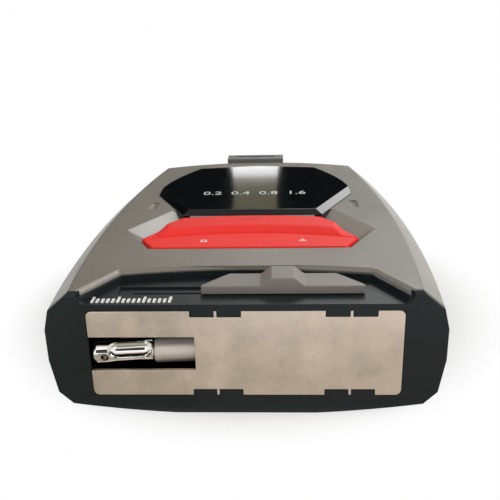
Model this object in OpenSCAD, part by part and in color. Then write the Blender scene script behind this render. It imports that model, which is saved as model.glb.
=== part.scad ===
// Pocket surface roughness tester, lying on its back with the display up.
// Millimetres. X runs across the instrument, Y away from the measuring face, Z up.

/* [Case] */
// Width across the belly of the case
body_w = 80; // [77:0.2:86]
// Length of the case from the measuring face to the end wall
body_l = 105.6; // [104:0.2:116]
// Height of the cover's top above the table
body_h = 26.3; // [26:0.1:28]
// Wall of the lower case and the cover
wall = 1.8; // [1.5:0.1:2]
// Height of the parting line between lower case and cover
split_z = 11.6; // [10.5:0.1:13]
// Plan radius of the long sides
side_r = 364; // [320:1:420]
// Plan radius of the end wall
end_r = 75; // [70:1:90]
// Distance of the widest line from the measuring face
belly_y = 30; // [25:0.5:35]
// Radius of the crowned underside
crown_r = 244; // [200:1:300]
// How far the crown is cut flat to rest on
land_drop = 0.4; // [0.3:0.05:0.6]

/* [Side section] */
// Height where the chamfer of the heel starts
heel_z = 2.2; // [2.1:0.1:2.6]
// How far the heel lies inside the belly
heel_in = 3.8; // [3:0.1:4.5]
// Height where the chamfer of the heel ends
skirt_z = 4.8; // [4:0.1:6]
// How far the skirt lies inside the belly
skirt_in = 1.2; // [0.8:0.1:1.6]
// Height of the belly's lower edge
belly_lo = 12; // [10:0.1:13]
// Height of the belly's upper edge
belly_hi = 18.6; // [17:0.1:20]
// Height of the shoulder's edge
shoulder_z = 22.7; // [22:0.1:23.5]
// How far the shoulder lies inside the belly
shoulder_in = 1; // [0.6:0.1:1.6]
// How far the edge of the top lies inside the belly
top_in = 5.2; // [4.6:0.1:6]
// How far the top's edge lies inside the end wall
end_top_in = 2.8; // [2:0.1:4]

/* [Front frame] */
// Depth of the frame's rim in front of the case
rim_d = 1.3; // [1.2:0.1:1.6]
// Depth of the frame's plate behind the measuring face
frame_d = 2.4; // [2.2:0.1:2.8]
// Depth of the spigot that plugs into the case
spigot_d = 3.5; // [2.5:0.1:4.5]
// Wall of the spigot
spigot_t = 1.4; // [1.2:0.1:1.8]
// Play between the spigot and the case
spigot_play = 0.1; // [0.05:0.01:0.2]
// Height of the deck that the slider runs on
deck_z = 23.9; // [23.7:0.1:24.1]
// Thickness of the deck
deck_t = 1.5; // [1.3:0.1:1.7]
// Half width of the deck's mouth at the measuring face
mouth_half = 32.2; // [31.8:0.1:32.6]
// Sideways draw-in of the mouth for each millimetre of depth
mouth_slope = 0.587; // [0.5:0.01:0.6]
// Depth of the deck at its middle
arch_d = 13.6; // [13.2:0.1:15]
// Radius of the arched edge behind the deck
arch_r = 133; // [110:1:160]
// Wall that rises from the deck to the cover
riser_t = 0.5; // [0.4:0.05:0.6]
// Drop of the riser below the cover's top
riser_drop = 0.9; // [0.8:0.1:1.2]
// Chamfer of the cover along the arch
arch_chamfer = 0.7; // [0.4:0.1:0.8]

/* [Base plate] */
// Width of the base plate
plate_w = 60.9; // [59:0.1:61.5]
// Height of the base plate
plate_h = 18.4; // [17.5:0.1:18.6]
// Thickness of the base plate
plate_t = 0.9; // [0.8:0.05:1]
// Height of the plate's lower edge
plate_z = 4.1; // [4:0.1:4.3]
// Corner radius of the plate
plate_r = 1.2; // [0.8:0.1:1.6]
// Play between plate and frame
plate_play = 0.08; // [0.05:0.01:0.12]
// Lip of the frame behind the plate's edges
plate_lip = 1.2; // [1:0.1:1.4]
// Height of the fork slot
fork_h = 7.3; // [6.8:0.1:7.6]
// Length of the fork slot
fork_l = 20.7; // [20:0.1:21]
// Width of each pair of lugs in the plate's long edges
lug_pair_w = 9.7; // [9:0.1:10]
// Depth of the lugs
lug_d = 1.2; // [1:0.1:1.4]
// Width of the plate's finger between two lugs
finger_w = 0.7; // [0.6:0.1:1]
// Middle of the left pair of lugs
lug_x1 = -5.5; // [-6:0.1:-5]
// Middle of the right pair of lugs
lug_x2 = 20.4; // [20:0.1:21]

/* [Slider and shutter] */
// Middle of the slider in its open place
knob_x = 7.4; // [7.2:0.1:7.8]
// Width of the slider's front edge
knob_w = 31.8; // [31:0.1:32]
// Width of the slider's rear edge
knob_rear_w = 24.6; // [23:0.1:25]
// Depth of the slider
knob_d = 6.5; // [6.2:0.1:6.6]
// Distance of the slider's front edge from the measuring face
knob_y = 4.3; // [4.2:0.1:4.5]
// Thickness of the slider's base
knob_t = 1.8; // [1.6:0.1:2]
// Gap under the slider
knob_gap = 0.1; // [0.05:0.01:0.15]
// Height of the finger ridge over the slider's base
ridge_h = 1.6; // [1.2:0.1:1.8]
// Width of the finger ridge at its top
ridge_w = 4.6; // [4:0.1:5]
// Width of the finger ridge at its foot
ridge_foot_w = 8.6; // [8:0.1:9]
// Travel of the slider
shutter_travel = 19; // [18:0.1:19]
// Width of the slot in the deck
slot_w = 1.6; // [1.4:0.1:1.8]
// Thickness of the shutter sheet
shutter_t = 0.4; // [0.3:0.05:0.4]
// Gap between the base plate and the shutter
shutter_gap = 0.1; // [0.05:0.01:0.12]
// Overlap of the shutter over the slot's edges
shutter_lap = 0.9; // [0.6:0.1:1.1]

/* [Keys] */
// Width of the keypad across its tips
keys_w = 49.6; // [46:0.2:50]
// Width of the keypad's front edge
keys_front_w = 42.8; // [42:0.2:45]
// Width of the keypad's rear edge
keys_rear_w = 32.2; // [31:0.2:33]
// Distance of the keypad's front edge from the measuring face
keys_y = 23.6; // [23:0.1:24]
// Distance from the front edge to the tips
keys_tip_d = 6; // [5:0.1:7]
// Distance from the front edge to the crease
keys_crease_d = 9.3; // [8.6:0.1:10]
// Plan radius of the crease
keys_r = 80; // [70:1:120]
// Depth of the whole keypad
keys_d = 21.8; // [21.4:0.1:22]
// Gap round each key
key_gap = 0.2; // [0.15:0.01:0.25]
// Travel of the keys
key_travel = 0.5; // [0.3:0.05:0.6]
// Height of the lower keys over the cover
key_proud = 0.3; // [0.2:0.05:0.6]
// Height of the start key's ridge over the lower keys
key_ridge_h = 1.3; // [1:0.1:1.6]

/* [Display] */
// Width of the window across its tips
win_w = 53; // [51:0.2:54]
// Width of the window's front edge
win_front_w = 35; // [34:0.2:36]
// Distance of the window's front edge from the measuring face
win_y = 46.8; // [46.6:0.1:48]
// Distance from the window's front edge to its tips
win_tip_d = 18.6; // [17:0.2:20]
// Distance from the window's rear edge to the end wall
win_margin = 11.2; // [10.6:0.1:11.8]
// Half width of the window at its rear corners
win_rear_half = 17.5; // [15:0.1:18]
// Thickness of the window
win_t = 2.2; // [2:0.1:2.6]
// Gap round the window
win_gap = 0.1; // [0.05:0.01:0.2]
// Bevel of the window's near edges
win_bevel = 2.4; // [2:0.1:3.2]
// Height of the window over the cover
win_proud = 0.9; // [0.5:0.05:1]

/* [Drive] */
// Traverse of the carriage
traverse = 6; // [4:0.5:6]
// Place of the pickup's pivot across the case
pivot_x = 15; // [14.5:0.1:15.5]
// Distance of the stylus from the pivot
stylus_reach = 43; // [42.8:0.1:43.1]
// Tilt of the pickup from the measuring face
pickup_tilt = 5; // [4.9:0.05:5.2]
// How far the pickup lies below the slot's middle
pickup_drop = 0.65; // [0.5:0.05:0.7]
// Diameter of the pickup's neck
neck_dia = 5; // [4.8:0.1:5.1]
// Diameter of the pickup's head
head_dia = 4.9; // [4.7:0.1:4.9]
// Length of the pickup's head
head_l = 12.2; // [12:0.1:12.6]
// Setback of the head from the measuring face
head_back = 0.12; // [0.1:0.01:0.2]
// Diameter of the pivot pin
pin_dia = 2; // [1.8:0.1:2.2]
// Radial running clearance of pins, rods and screw
run_fit = 0.05; // [0.03:0.01:0.08]
// Distance of the drive's axis from the measuring face
drive_y = 15.5; // [15.2:0.1:16]
// Diameter of the guide rods
rod_dia = 2.5; // [2:0.1:3]
// Height of the guide rods above and below the drive's axis
rod_rise = 5.4; // [5:0.1:5.6]
// Diameter of the lead screw
screw_dia = 3; // [2.8:0.1:3.2]
// Diameter of the motor and its gear head
motor_dia = 10; // [9:0.1:10.4]
// Length of the motor
motor_l = 16; // [14:0.5:17]
// Length of the gear head
gear_l = 9; // [8:0.5:10]
// Thickness of the bracket's sheet
bracket_t = 1.2; // [1:0.1:1.4]

/* [Strap lug] */
// Width of the strap lug
lug_w = 18; // [16:0.2:20]
// How far the lug stands out of the end wall
lug_out = 2.9; // [2.8:0.1:4]
// Place of the lug across the case
lug_x = -1; // [-2:0.1:2]
// Height of the lug
lug_h = 6; // [5:0.1:7]

/* [Hidden] */
$fn = 64;

// Fineness of the large round forms
round_fn = 720;
half_w = body_w / 2;
overall_l = body_l + lug_out;
// Longer than any cut has to be
reach = 2 * body_l;
// How far a cut runs past the face it opens
past = 1;

// Heights that the inner pieces share
top_in_z = body_h - wall;
plate_mid_z = plate_z + plate_h / 2;
plate_top_z = plate_z + plate_h;
deck_low_z = deck_z - deck_t;
drive_z = plate_mid_z - pickup_drop;

// Shutter, knob and slot
shutter_y = plate_t + shutter_gap;
shutter_l = fork_l + 1;
shutter_x = -plate_w / 2 + fork_l;
slot_y = knob_y + 1.4;
knob_flat = 0.8;
knob_corner = 1.6;
stem_l = 19.4;
stem_play = 0.2;
slot_end_play = 1;
slot_x0 = knob_x - stem_l / 2 - shutter_travel - slot_end_play;
slot_x1 = knob_x + stem_l / 2 + slot_end_play;
channel_d = 0.5;
channel_w = 3.6;
channel_lead = 2.8;
ramp_w = 1.5;
ramp_h = 1.7;
lobe_chamfer = 0.6;
foot_top_z = plate_top_z - plate_lip - stem_play;
foot_w = 9.6;

// Pickup, in its own line from the pivot
eye_dia = 6;
eye_h = 4;
eye_play = 0.1;
pivot_y = head_back + head_dia / 2 + stylus_reach * sin(pickup_tilt);
nose_l = 2.4;
shank_l = 9;
shank_dia = 3.6;
head_tip = stylus_reach + nose_l;
head_start = head_tip - head_l;
head_r = head_dia / 2;
nose_c = 0.8;
neck_drop = 0.5;
neck_back = 0.4;
waist = 0.12;
waist_at = 3.2;
head_profile = [[0, 0], [head_r - nose_c / 2, 0], [head_r, nose_c / 2], [head_r, waist_at / 2],
                [head_r - waist, waist_at], [head_r - waist, head_l - 2 * nose_l],
                [head_r, head_l - nose_l - nose_c], [head_r, head_l - nose_c],
                [head_r - nose_c / 3, head_l - nose_c / 3], [head_r - nose_c, head_l], [0, head_l]];
bowl_r = 1.9;
bowl_half = 2.6;
bowl_mid = head_start + 4.8;
bowl_axis = 2.8;
bowl_turn = 61;
bowl_lean = 2;
bowl_step = 15;
bowl_profile = concat([for (a = [-90 : bowl_step : 0]) [bowl_r * cos(a), bowl_r * sin(a) - bowl_half]],
                      [for (a = [0 : bowl_step : 90]) [bowl_r * cos(a), bowl_r * sin(a) + bowl_half]]);
head_relief = 0.8;
stylus_drop = 0.6;
stylus_bore = 1.1;
stylus_hole = 1.6;
hole_rise = 0.35;
lever_dia = 0.7;
lever_l = 14.4;
barrel_dia = 0.8;
barrel_h = 0.6;
tip_back = 0.07;
tip_dia = 0.1;
tip_cone = 0.8;

// Carriage and drive along X
block_l = 12;
block_front_y = drive_y - 5.2;
block_d = 8.6;
bracket_d = block_d + 4;
block_h = 14.4;
clevis_t = 1.5;
clevis_w = 6.4;
nut_dia = 7;
screw_run = 11;
gear_face_x = pivot_x - block_l / 2 - screw_run;
end_room = 3;
end_plate_x = pivot_x + block_l / 2 + traverse + end_room;
end_plate_h = drive_z + rod_rise + rod_dia;
journal_dia = 2;
journal_l = 2.4;
bush_dia = 5;
bush_flange_dia = 6.6;
bush_flange_t = 0.8;
screw_hole_dia = screw_dia + 0.6;
screw_end_play = 0.2;
journal_play = 0.6;
motor_flat = 0.8;
motor_boss_l = 1.2;
motor_boss_dia = 4;
bracket_screw_x = [pivot_x - 9, pivot_x + 10];
bracket_screw_y = drive_y + 5.6;
bracket_screw_dia = 1.6;
bracket_screw_head = 3;
bracket_screw_head_h = 0.9;
bracket_screw_grip = 2.2;
bracket_z = 2 * wall;
pad_dia = 5;

// Board, its supports and what it carries
board_z = split_z + 1;
board_t = 1.2;
board_top_z = board_z + board_t;
board_half_w = 23;
board_y0 = 24;
board_y1 = body_l - 8.6;
post_dia = 4.4;
post_x = board_half_w - 4;
post_ys = [board_y0 + 3.5, board_y1 - 4];
battery_w = 32;
battery_l = 42;
battery_h = 6.7;
battery_y = 46;
switch_w = 6;
switch_h = 3.5;
button_dia = 3;
button_h = 1;
buzzer_dia = 9;
buzzer_h = 3.5;
buzzer_hole = 2;
buzzer_depth = 1;
buzzer_in = 8;
socket_x = -14;
socket_w = 9;
socket_h = 3.2;
socket_l = 8;
socket_play = 0.2;
socket_wall = 0.4;
module_w = 34;
module_h = 3.8;
module_y = win_y + 8;
module_rear = 5;
win_d = body_l - win_margin - win_y;
module_l = win_d - (module_y - win_y) - module_rear;

// Case screws
screw_front = [29, belly_y - 3];
screw_rear = [27, body_l - 15.6];
screw_places = [screw_front, [-screw_front.x, screw_front.y], screw_rear, [-screw_rear.x, screw_rear.y]];
case_screw_dia = 2.2;
case_screw_head = 4.2;
case_screw_head_h = 1.5;
case_screw_seat_z = 4;
case_screw_top_z = 18;
boss_dia = 7;
boss_play = 0.2;
hex_dia = 2;
hex_depth = 0.8;

// Strap lug
lug_rise = 1.1;
lug_bar = 1.2;
strap_w = 12.4;
strap_t = 1.3;

// Keypad and window outlines, drawn anticlockwise
keys_tip_y = keys_y + keys_tip_d;
keys_crease_y = keys_y + keys_crease_d;
keys_rear_y = keys_y + keys_d;
keys_axis_y = keys_crease_y - keys_r;
keys_rear_r = keys_rear_y - keys_axis_y;
keypad = [[-keys_front_w / 2, keys_y], [keys_front_w / 2, keys_y], [keys_w / 2, keys_tip_y],
          [keys_rear_w / 2, keys_rear_y], [-keys_rear_w / 2, keys_rear_y], [-keys_w / 2, keys_tip_y]];
key_flange = 0.8;
key_flange_t = 1;
key_strip_z = body_h + key_proud;
key_ridge_z = key_strip_z + key_ridge_h;
key_slope = 2.6;
key_rear_h = 0.35;
key_end_half = 21.4;
key_end_slope = 2.2;
seam_x = 1.1;
seam_lean = 8;
key_rim_t = 3.8;
key_rim_w = 4.2;
key_under_z = body_h - key_rim_t;
win_tip_y = win_y + win_tip_d;
win_corner_y = win_y + win_d - 2.6;
win_steps = 6;
win_bulge = 1.8;
win_top_z = body_h + win_proud;
win_low_z = body_h - win_t;
win_step = 0.1;
win_bevel_drop = win_proud - win_step;
win_ledge = 1.5;
win_ledge_t = 1.2;
function win_side(t) = win_w / 2 - (win_w / 2 - win_rear_half) * pow(t, win_bulge);
win_right = [for (i = [0 : win_steps]) let (t = i / win_steps)
             [win_side(t), win_tip_y + t * (win_corner_y - win_tip_y)]];
win_left = [for (i = [win_steps : -1 : 0]) [-win_right[i].x, win_right[i].y]];
window = concat([[-win_front_w / 2, win_y], [win_front_w / 2, win_y]], win_right,
                [[0, win_y + win_d]], win_left);

// Facets that fall to the keypad's sides, with a steep end beside each tip
flank_corner = [29.4, keys_tip_y + 7.1];
flank_rear = [20.8, win_y + 4.6];
flank_front = [22.4, keys_y - 0.2];
flank_fall = 0.36;
flank_end_fall = 0.6;
flank_inner = 2;
flank_inner_x = win_front_w / 2 - flank_inner;

// Short grooves beside the window
groove_x = 26.2;
groove_y = win_y + 6.2;
groove_l = 6;
groove_r = 1.5;
groove_d = 0.4;

// Moves every piece so that the part's box is centred over the origin
module seat() translate([0, -overall_l / 2, 0]) children();

// An outline moved inwards by d along each of its edges
function unit(v) = v / norm(v);
function inward(a, b) = let (u = unit(b - a)) [-u.y, u.x];
function inset(p, d) = let (n = len(p)) [for (i = [0 : n - 1])
    let (n1 = inward(p[(i + n - 1) % n], p[i]), n2 = inward(p[i], p[(i + 1) % n]))
    p[i] + d * (n1 + n2) / (1 + n1 * n2)];

// A flat outline raised between two heights
module raised(z0, z1) translate([0, 0, z0]) linear_extrude(z1 - z0) children();
// An outline in X and Z carried back between two depths
module carried(y0, y1) translate([0, y1, 0]) rotate([90, 0, 0]) linear_extrude(y1 - y0) children();
// A slice of space across the whole case
module slab(y0, y1, z0, z1) translate([-body_w, y0, z0]) cube([2 * body_w, y1 - y0, z1 - z0]);
// A round bar along X
module bar(x0, x1, dia) translate([x0, 0, 0]) rotate([0, 90, 0]) cylinder(d = dia, h = x1 - x0);
// Space over a plane that falls inwards from the line a to b at height z
module fall_cut(a, b, z, fall)
    translate([a.x, a.y, z]) rotate([0, 0, atan2(b.y - a.y, b.x - a.x)]) rotate([90, 0, 90])
    translate([0, 0, -reach / 4]) linear_extrude(norm(b - a) + reach / 2)
    polygon([[0, 0], [reach / 4, -fall * reach / 4], [reach / 4, past], [0, past]]);
// A bevel along the edge a to b that leaves drop at the edge and ends run inside it
module edge_bevel(a, b, z, run, drop)
    translate([a.x, a.y, z]) rotate([0, 0, atan2(b.y - a.y, b.x - a.x)]) rotate([90, 0, 90])
    translate([0, 0, -reach / 4]) linear_extrude(norm(b - a) + reach / 2)
    polygon([[-past, -drop - past * drop / run], [run, 0], [run, past], [-past, past]]);

// The outer form of the case, or the same form moved inwards by i
function side_points(i) = [[0, i], [side_r - heel_in - i, i], [side_r - heel_in - i, heel_z],
    [side_r - skirt_in - i, skirt_z], [side_r - i, belly_lo], [side_r - i, belly_hi],
    [side_r - shoulder_in - i, shoulder_z], [side_r - top_in - i, body_h - i], [0, body_h - i]];
function end_points(i) = [[0, i], [end_r - skirt_in - i, i], [end_r - i, skirt_z], [end_r - i, belly_hi],
    [end_r - end_top_in - i, body_h - i], [0, body_h - i]];
module side_form(hand, i) translate([hand * (half_w - side_r), belly_y, 0])
    rotate_extrude($fn = round_fn) polygon(side_points(i));
module end_form(i) translate([0, body_l - end_r, 0]) rotate_extrude($fn = round_fn) polygon(end_points(i));
module crown_form(i) translate([0, 0, crown_r - land_drop]) rotate([-90, 0, 0])
    cylinder(r = crown_r - i, h = reach, $fn = round_fn);
module case_form(i) intersection() {
    side_form(1, i);
    side_form(-1, i);
    end_form(i);
    crown_form(i);
}

// The mouth over the deck, moved inwards by i
function mouth_w(y, i) = mouth_half - mouth_slope * y - i * sqrt(1 + mouth_slope * mouth_slope);
module arch_2d(i) intersection() {
    translate([0, arch_d - arch_r]) circle(r = arch_r - i, $fn = round_fn);
    polygon([[-mouth_w(-past, i), -past], [mouth_w(-past, i), -past],
             [mouth_w(arch_d, i), arch_d], [-mouth_w(arch_d, i), arch_d]]);
}

// The base plate's outline grown by p, and the lugs that reach into its long edges grown by p
module plate_2d(p) {
    w = plate_w + 2 * p;
    h = plate_h + 2 * p;
    translate([0, plate_mid_z]) {
        square([w - 2 * plate_r, h], center = true);
        square([w, h - 2 * plate_r], center = true);
        for (sx = [-1, 1], sz = [-1, 1])
            translate([sx * (w / 2 - plate_r), sz * (h / 2 - plate_r)]) circle(r = plate_r);
    }
}
module lugs_2d(p) {
    one_w = (lug_pair_w - finger_w) / 2;
    for (x = [lug_x1, lug_x2], side = [-1, 1], edge = [-1, 1])
        translate([x + side * (finger_w + one_w) / 2, plate_mid_z + edge * (plate_h / 2)])
        square([one_w + 2 * p, 2 * (lug_d + p)], center = true);
}

// The keypad's outline moved inwards by i, with its rear edge an arc about the crease's axis
module keypad_2d(i) intersection() {
    polygon(inset(keypad, i));
    translate([0, keys_axis_y]) circle(r = keys_rear_r - i, $fn = round_fn);
}

// The fall from the cover's top to the keypad's right side
module flank_cut() intersection() {
    raised(key_under_z, reach) polygon([flank_front, flank_corner, flank_rear, [flank_inner_x, flank_rear.y],
                                        [flank_inner_x, keys_rear_y - flank_inner],
                                        keypad[1] + [-flank_inner, flank_inner]]);
    fall_cut(flank_corner, flank_rear, body_h, flank_fall);
    fall_cut(flank_front, flank_corner, body_h, flank_end_fall);
}

// Moulded tray that carries the drive, the battery and the board
module lower_case() color("#2f3436") seat() difference() {
    union() {
        difference() {
            intersection() {
                case_form(0);
                slab(rim_d, reach, -past, split_z);
            }
            case_form(wall);
        }
        intersection() {
            case_form(wall / 2);
            union() {
                for (p = screw_places) translate([p.x, p.y, 0]) cylinder(d = boss_dia, h = split_z);
                for (x = [-post_x, post_x], y = post_ys)
                    translate([x, y, 0]) cylinder(d = post_dia, h = board_z);
                for (x = bracket_screw_x)
                    translate([x, bracket_screw_y, 0]) cylinder(d = pad_dia, h = bracket_z);
            }
        }
    }
    for (p = screw_places) translate([p.x, p.y, -past]) {
        cylinder(d = case_screw_head + 2 * boss_play, h = case_screw_seat_z + past);
        cylinder(d = case_screw_dia + 2 * boss_play, h = reach);
    }
    for (x = bracket_screw_x) translate([x, bracket_screw_y, bracket_z - bracket_screw_grip])
        cylinder(d = bracket_screw_dia, h = reach);
}

// Ramp from the deck up to the frame's lobe beside it
module ramp() carried(0, rim_d) polygon([[mouth_half - ramp_w, deck_low_z], [mouth_half + past, deck_low_z],
    [mouth_half + past, deck_z + ramp_h], [mouth_half, deck_z + ramp_h], [mouth_half - ramp_w, deck_z]]);

// Black frame round the base plate, with the deck that the slider runs on
module front_frame() color("#2a2e2f") seat() difference() {
    union() {
        difference() {
            union() {
                intersection() {
                    case_form(0);
                    slab(0, rim_d, -past, reach);
                }
                difference() {
                    intersection() {
                        case_form(wall + spigot_play);
                        slab(rim_d / 2, rim_d + spigot_d, -past, reach);
                    }
                    intersection() {
                        case_form(wall + spigot_play + spigot_t);
                        slab(frame_d, reach, -past, reach);
                    }
                }
            }
            raised(deck_z, reach) arch_2d(0);
        }
        raised(deck_low_z, deck_z) intersection() {
            arch_2d(spigot_play);
            translate([-body_w, rim_d / 2]) square([2 * body_w, reach]);
        }
        raised(deck_low_z, body_h - riser_drop) intersection() {
            difference() {
                arch_2d(spigot_play);
                arch_2d(spigot_play + riser_t);
            }
            translate([-body_w, rim_d / 2]) square([2 * body_w, reach]);
        }
        ramp();
        mirror([1, 0, 0]) ramp();
    }
    edge_bevel([-half_w, 0], [half_w, 0], body_h, lobe_chamfer, lobe_chamfer);
    carried(-past, plate_t) difference() {
        plate_2d(plate_play);
        lugs_2d(0);
    }
    carried(0, frame_d + past) translate([-plate_w / 2 + plate_lip / 4, plate_z + plate_lip])
        square([plate_w - plate_lip * 5 / 4, plate_h - 2 * plate_lip]);
    carried(plate_t, frame_d + past) translate([-plate_w / 2 - head_relief, plate_mid_z - fork_h / 2])
        square([fork_l, fork_h]);
    translate([slot_x0, slot_y - slot_w / 2, 0]) cube([slot_x1 - slot_x0, slot_w, reach]);
    translate([slot_x0 - channel_lead, slot_y - channel_w / 4, deck_z - channel_d])
        cube([slot_x1 - slot_x0 + channel_lead, channel_w, reach]);
}

// Grey moulded cover with the openings for slider, keys, window and charging socket
module top_cover() color("#8c8984") seat() difference() {
    union() {
        difference() {
            intersection() {
                case_form(0);
                slab(rim_d, reach, split_z, reach);
            }
            case_form(wall);
        }
        intersection() {
            case_form(wall / 2);
            for (p = screw_places) translate([p.x, p.y, split_z])
                cylinder(d = boss_dia, h = reach);
        }
        raised(win_low_z - win_ledge_t, body_h - wall / 2) polygon(inset(window, -win_ledge));
        raised(key_under_z, body_h - wall / 2) keypad_2d(-key_rim_w);
    }
    raised(split_z, reach) arch_2d(0);
    hull() {
        raised(body_h - arch_chamfer, body_h) arch_2d(0);
        raised(body_h, body_h + past) arch_2d(-arch_chamfer);
    }
    raised(split_z, reach) keypad_2d(0);
    raised(win_low_z, reach) polygon(window);
    raised(split_z, reach) polygon(inset(window, win_ledge));
    flank_cut();
    mirror([1, 0, 0]) flank_cut();
    for (s = [-1, 1]) carried(groove_y, groove_y + groove_l)
        translate([s * groove_x, body_h + groove_r - groove_d]) circle(r = groove_r);
    for (p = screw_places) translate([p.x, p.y, 0]) cylinder(d = case_screw_dia, h = case_screw_top_z);
    translate([socket_x - socket_w / 2 - socket_play, body_l - end_r / 5, board_top_z - socket_play])
        cube([socket_w + 2 * socket_play, reach, socket_h + 2 * socket_play]);
}

// Nickel-plated steel plate that is set down on the work
module base_plate() color("#bbae9b") seat() carried(0, plate_t) difference() {
    plate_2d(0);
    lugs_2d(plate_play);
    translate([-plate_w / 2 - past, plate_mid_z - fork_h / 2]) square([fork_l + past, fork_h]);
}

// Glossy black window with bevelled near edges
module display_window() color("#0d1113") seat() difference() {
    raised(win_low_z, win_top_z) polygon(inset(window, win_gap));
    for (i = [0, 1, len(window) - 1])
        edge_bevel(window[i], window[(i + 1) % len(window)], win_top_z, win_bevel, win_bevel_drop);
}

// Display glass and its frame, bonded under the window
module display_module() color("#4a5a52") seat()
    translate([-module_w / 2, module_y, win_low_z - module_h]) cube([module_w, module_l, module_h]);

// Circuit board on its four posts
module main_board() color("#1f5a3a") seat()
    translate([-board_half_w, board_y0, board_z]) cube([2 * board_half_w, board_y1 - board_y0, board_t]);

// Flat lithium cell on the floor of the tray
module battery_pack() color("#6d7f95") seat() translate([-battery_w / 2, battery_y, wall]) {
    cell_r = battery_h / 2;
    translate([cell_r, 0, 0]) cube([battery_w - 2 * cell_r, battery_l, battery_h]);
    for (x = [cell_r, battery_w - cell_r]) translate([x, 0, cell_r]) rotate([-90, 0, 0])
        cylinder(r = cell_r, h = battery_l);
}

// Where the switches stand on the board, under the middle of each key
switch_x = 11;
switch_y = keys_y + keys_crease_d / 2;
switch_places = [[0, (keys_crease_y + keys_rear_y) / 2], [-switch_x, switch_y], [switch_x, switch_y]];
module tact_switches() color("#202020") seat() for (p = switch_places) translate([p.x, p.y, board_top_z]) {
    translate([-switch_w / 2, -switch_w / 2, 0]) cube([switch_w, switch_w, switch_h]);
    cylinder(d = button_dia, h = switch_h + button_h);
}

// Charging socket at the end of the board
module charge_socket() color("#b8bcc0") seat() difference() {
    translate([socket_x, board_y1 - socket_l / 4, board_top_z]) translate([-socket_w / 2, 0, 0])
        cube([socket_w, socket_l, socket_h]);
    translate([socket_x, board_y1 + socket_l / 4, board_top_z + socket_h / 2])
        translate([-socket_w / 2 + socket_wall, 0, -socket_h / 2 + socket_wall])
        cube([socket_w - 2 * socket_wall, socket_l, socket_h - 2 * socket_wall]);
}

// Round sounder on the board
module buzzer() color("#303030") seat()
    translate([board_half_w - buzzer_in, win_tip_y, board_top_z]) difference() {
    cylinder(d = buzzer_dia, h = buzzer_h);
    translate([0, 0, buzzer_h - buzzer_depth]) cylinder(d = buzzer_hole, h = buzzer_depth + past);
}

// Lug with the slot for a wrist strap, seated on the cover's end wall
module strap_lug() color("#6c6c6c") seat() difference() {
    translate([lug_x - lug_w / 2, body_l - end_top_in, body_h + lug_rise - lug_h])
        cube([lug_w, lug_out + end_top_in, lug_h]);
    end_form(0);
    translate([lug_x - strap_w / 2, overall_l - lug_bar - strap_t, 0]) cube([strap_w, strap_t, reach]);
}

// Four screws that hold the cover to the tray from below
module case_screws() color("#3a3a3a") seat() for (p = screw_places) translate([p.x, p.y, 0]) {
    translate([0, 0, case_screw_seat_z - case_screw_head_h]) difference() {
        cylinder(d = case_screw_head, h = case_screw_head_h);
        translate([0, 0, -past]) cylinder(d = hex_dia, h = hex_depth + past, $fn = 6);
    }
    translate([0, 0, case_screw_seat_z])
        cylinder(d = case_screw_dia, h = case_screw_top_z - case_screw_seat_z);
}

// Puts a piece on the drive's axis
module on_drive() translate([0, drive_y, drive_z]) children();

// Bent steel bracket with two upright ends for the rods and the screw
module drive_bracket() color("#9aa0a4") seat() difference() {
    union() {
        translate([gear_face_x, block_front_y, bracket_z])
            cube([end_plate_x + bracket_t - gear_face_x, bracket_d, bracket_t]);
        for (x = [gear_face_x, end_plate_x]) translate([x, block_front_y, bracket_z])
            cube([bracket_t, bracket_d, end_plate_h - bracket_z]);
    }
    on_drive() for (s = [-1, 1]) translate([0, 0, s * rod_rise])
        bar(gear_face_x - past, end_plate_x + bracket_t + past, rod_dia);
    on_drive() bar(gear_face_x - past, gear_face_x + bracket_t + past, screw_hole_dia);
    on_drive() bar(end_plate_x - past, end_plate_x + bracket_t + past, bush_dia);
    for (x = bracket_screw_x) translate([x, bracket_screw_y, 0])
        cylinder(d = bracket_screw_dia, h = bracket_z + 2 * bracket_t);
}

// Small direct-current motor with flats on its can
module drive_motor() color("#c4c6c8") seat() on_drive() {
    x1 = gear_face_x - gear_l;
    intersection() {
        bar(x1 - motor_l, x1, motor_dia);
        translate([x1 - motor_l, -motor_dia / 2, -motor_dia * motor_flat / 2])
            cube([motor_l, motor_dia, motor_dia * motor_flat]);
    }
    bar(x1 - motor_l - motor_boss_l, x1 - motor_l, motor_boss_dia);
}

// Reduction gear head on the bracket's left end
module gear_head() color("#a58f5a") seat() on_drive() difference() {
    bar(gear_face_x - gear_l, gear_face_x, motor_dia);
    bar(gear_face_x - journal_l - journal_play, gear_face_x + past, journal_dia + 2 * run_fit);
}

// Two ground rods that guide the carriage
module guide_rods() color("#d0d2d4") seat() on_drive() for (s = [-1, 1]) translate([0, 0, s * rod_rise])
    bar(gear_face_x, end_plate_x + bracket_t, rod_dia);

// Flanged bush for the screw's free end
module screw_bearing() color("#b08a4a") seat() on_drive() difference() {
    union() {
        bar(end_plate_x, end_plate_x + bracket_t, bush_dia);
        bar(end_plate_x - bush_flange_t, end_plate_x, bush_flange_dia);
    }
    bar(end_plate_x - 2 * past, end_plate_x + bracket_t + past, journal_dia + 2 * run_fit);
}

// Two screws that hold the bracket to the tray's floor
module bracket_screws() color("#8a8d90") seat() for (x = bracket_screw_x)
    translate([x, bracket_screw_y, 0]) {
        translate([0, 0, bracket_z - bracket_screw_grip])
            cylinder(d = bracket_screw_dia, h = bracket_screw_grip + bracket_t);
        translate([0, 0, bracket_z + bracket_t]) cylinder(d = bracket_screw_head, h = bracket_screw_head_h);
    }

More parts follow.
